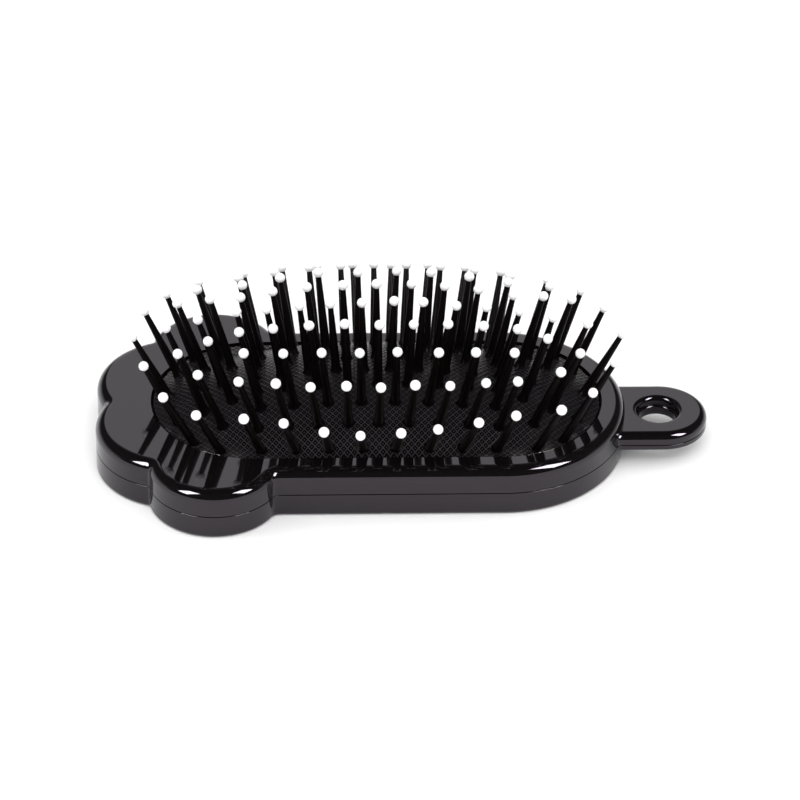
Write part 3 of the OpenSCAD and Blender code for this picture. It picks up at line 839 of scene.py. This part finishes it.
PIN_FORM, BALL_FORM = turned(PIN_PROFILE, sides=20), turned(ball_profile(), sides=24)
print("faces of a pin and of a ball:", len(PIN_FORM[1]), len(BALL_FORM[1]))

# %% Plant the pins
dice = np.random.default_rng(7)
LEAN_SPREAD, LENGTH_SPREAD, BOW_SPREAD = 0.012, 0.006, 0.12
BALL_SWELL = (1.02, 1.12)


def stand(form, spot, tilt, stretch, bow, swell):
    """Moves a turned form to its spot on the crown: bent, leaning and swollen as the dice say."""
    verts = form[0].copy()
    axis = Vector((*tilt, math.sqrt(1 - tilt[0] ** 2 - tilt[1] ** 2)))
    turn = np.array(Vector((0, 0, 1)).rotation_difference(axis).to_matrix())
    verts[:, :2] *= swell
    verts[:, 2] *= stretch
    verts[:, :2] += np.outer((verts[:, 2] / PIN_L) ** 2, bow)
    foot = np.array((spot[0], spot[1], float(crown_at(*spot))))
    return verts @ turn.T + foot


def plant(name, spots):
    """Makes one row's pins and one row's balls, and says how many pins there are."""
    pins, tips = [], []
    for x, y in spots:
        lean_x, lean_y = lean(x, y)
        tilt = (lean_x + dice.normal(0, LEAN_SPREAD), lean_y + dice.normal(0, LEAN_SPREAD))
        stretch, bow = 1 + dice.normal(0, LENGTH_SPREAD), dice.normal(0, BOW_SPREAD, 2)
        pins.append(stand(PIN_FORM, (x, y), tilt, stretch, bow, 1))
        tips.append(stand(BALL_FORM, (x, y), tilt, stretch, bow, dice.uniform(*BALL_SWELL)))
    for kind, form, made, finish in (("pins", PIN_FORM, pins, pin_black),
                                     ("tips", BALL_FORM, tips, white)):
        size = len(form[0])
        faces = [tuple(v + k * size for v in face) for k in range(len(made)) for face in form[1]]
        piece = mesh_piece(f"{kind}_{name}_fine", np.concatenate(made), faces, finish, sharp=80)
        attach(piece, "brush_half")
        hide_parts(f"{kind}_{name}")
        "pin_black" if kind == "pins" else "tip_white"
    return len(pins)


planted = [plant(f"row_{i + 5}", row_spots(i)) for i in range(-4, 5)]
planted += [plant("end_left", end_spots(-1)), plant("end_right", end_spots(1))]
print("pins, each with its ball:", sum(planted))

# %% [markdown]
# ## The hollow bush
# The bush is the pivot: a tube with a flange below, which holds both tabs together. Its rounded
# rim shows deep in the ring. A cylinder with a hole would need a bevel on one edge only, so its
# profile is drawn and turned about the pivot instead.

# %% The bush, turned about the pivot
FLANGE_T = 0.45
BUSH_SIDES = 144

bush_profile = [(BORE_R, TAB_BOTTOM), (FLANGE_R, TAB_BOTTOM), (FLANGE_R, TAB_BOTTOM + FLANGE_T),
                (BUSH_R, TAB_BOTTOM + FLANGE_T), (BUSH_R, BUSH_TOP),
                (BORE_R + BUSH_ROUND + NEAR, BUSH_TOP)]
bush_profile += [(BORE_R + d, BUSH_TOP + up) for d, up in rounding(BUSH_ROUND, 90, 0, steps=8)]
bush_rings = [ring(r * unit_circle(BUSH_SIDES) + (HOLE_X, 0), z) for r, z in bush_profile]
bush = solid_of_rings("bush_fine", bush_rings, gloss)
print("bush faces:", len(bush.data.polygons))

# %% [markdown]
# ## Bodies, and finishes for what stays
# Each fine piece rides on the body whose part it is, and the node that it replaces is hidden.
# Frames, screws, tape, glass and washer are plain forms that the solids already show, and most
# of them lie inside, so the solids stay and only get their finish.

# %% Bodies, replaced nodes and slots
for piece, body, node_name, slot in (
        (upper, "brush_half", "brush_shell", "black_gloss"),
        (lower, "mirror_half", "mirror_shell", "black_gloss"),
        (cushion, "brush_half", "cushion", "black_rubber"),
        (bush, "brush_half", "pivot_bush", "black_gloss")):
    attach(piece, body)
    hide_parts(node_name)

for node_name, finish in (("cushion_frame", inner), ("back_plate", inner), ("mirror_frame", inner),
                          ("plate_screws", steel), ("mirror_tape", tape),
                          ("mirror_glass", mirror), ("friction_washer", washer)):
    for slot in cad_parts[node_name].material_slots:
        slot.material = finish
    print(node_name, "is finished in", finish.name)

# %% [markdown]
# ## Floor and light
# Gloss black shows what it mirrors, so the room matters as much as the lamps. An even white room
# would turn the whole brush grey. Here a narrow white wall stands behind the brush and fades out
# above 40 degrees and to both sides: the flats pale, and the roundings beside them stay black. A
# low band of light runs along the horizon behind, and the ceiling and the camera's side are dim.
# Two soft boxes give the sharp white highlights. Wide lamps above, in front and at both sides,
# which gloss doesn't mirror, keep the white floor almost without shadow.

# %% Floor
FLOOR_HALF = 3000.0


def studio_floor():
    made, tree = material("studio_white")
    cloud = noise(tree, place(tree), scale=0.004, detail=2.0)
    to_output(tree, principled(tree, {
        "Base Color": mix_colour(tree, cloud, (0.94,) * 3, (0.96,) * 3),
        "Roughness": 0.9, "Specular IOR Level": 0.0}))
    corners = [(x * FLOOR_HALF, y * FLOOR_HALF, 0.0)
               for x, y in ((-1, -1), (1, -1), (1, 1), (-1, 1))]
    return mesh_piece("studio_floor", corners, [(0, 1, 2, 3)], made, sharp=60)


floor = studio_floor()
print("floor:", 2 * FLOOR_HALF * MM, "m each way")

# %% The wall of light and the ceiling
def sine(degrees):
    return math.sin(math.radians(degrees))


WALL_LIGHT, CEILING_LIGHT, DARK = 1.25, 0.2, 0.06
AWAY_SHARE = 0.3  # how much of the ceiling's light is left where it isn't over the wall
WALL_FRONT, WALL_SIDE, WALL_TOP = (0.2, 0.5), (0.02, 0.07), (sine(37), sine(46))
BAND_FRONT, BAND_TOP = (-0.35, 0.0), (0.0, sine(20))
CEILING_FADE = (0.7, 0.95)


def studio_world():
    """Light by direction: side, back and up are the parts of a unit vector that looks outwards."""
    world = bpy.data.worlds.new("studio")
    bpy.context.scene.world = world
    world.use_nodes = True
    tree = world.node_tree
    tree.nodes.clear()
    looking = node(tree, "ShaderNodeTexCoord", {}, {})[0]
    side, back, up = node(tree, "ShaderNodeSeparateXYZ", {}, {0: looking})
    narrow = 1.0 - smooth_step(tree, side * side, *WALL_SIDE)
    facing_wall = smooth_step(tree, back, *WALL_FRONT) * narrow
    wall = facing_wall * (1.0 - smooth_step(tree, up, *WALL_TOP))
    band = smooth_step(tree, back, *BAND_FRONT) * (1.0 - smooth_step(tree, up, *BAND_TOP))
    ceiling = CEILING_LIGHT - (CEILING_LIGHT - DARK) * smooth_step(tree, up, *CEILING_FADE)
    light = (ceiling * (AWAY_SHARE + (1 - AWAY_SHARE) * facing_wall)
             + WALL_LIGHT * (wall + (1.0 - wall) * band))
    glow = node(tree, "ShaderNodeBackground", {}, {"Strength": light})[0]
    node(tree, "ShaderNodeOutputWorld", {}, {"Surface": glow})
    return world


world = studio_world()
print("nodes in the world:", len(world.node_tree.nodes))

# %% Lamps
BOX_SIZE, BOX_GLOW, BOX_AWAY, BOX_ELEVATION = (0.35, 0.64), 32, 1.2, 42
FILL_AWAY = 2.5


def lamp(name, azimuth, elevation, away, size, glow, turn=0.0):
    """A rectangular lamp that faces the brush; glow is its radiance."""
    azimuth, elevation = math.radians(azimuth), math.radians(elevation)
    spot = away * Vector((math.sin(azimuth) * math.cos(elevation),
                          math.cos(azimuth) * math.cos(elevation), math.sin(elevation)))
    light = bpy.data.lights.new(name, "AREA")
    light.shape, (light.size, light.size_y) = "RECTANGLE", size
    light.energy = math.pi * size[0] * size[1] * glow
    made = bpy.data.objects.new(name, light)
    aim = (-spot).to_track_quat("-Z", "Y").to_matrix().to_4x4()
    turned_round = Matrix.Rotation(math.radians(turn), 4, "Z")
    made.matrix_world = Matrix.Translation(spot) @ aim @ turned_round
    bpy.context.scene.collection.objects.link(made)
    print("lamp", name, "gives", round(light.energy, 1), "W")
    return made


for name, azimuth, turn in (("right_box", 127, 13), ("left_box", -127, -13)):
    box = lamp(name, azimuth, BOX_ELEVATION, BOX_AWAY, BOX_SIZE, BOX_GLOW, turn)
    box.visible_diffuse = False
for name, azimuth, elevation, side, glow in (
        ("overhead", 0, 89, 4.0, 1.25), ("front_fill", 182, 38, 2.5, 2.7),
        ("right_fill", 80, 32, 2.0, 2.0), ("left_fill", -80, 32, 2.0, 2.0)):
    lamp(name, azimuth, elevation, FILL_AWAY, (side, side), glow).visible_glossy = False
bpy.context.scene.view_settings.view_transform = "Standard"
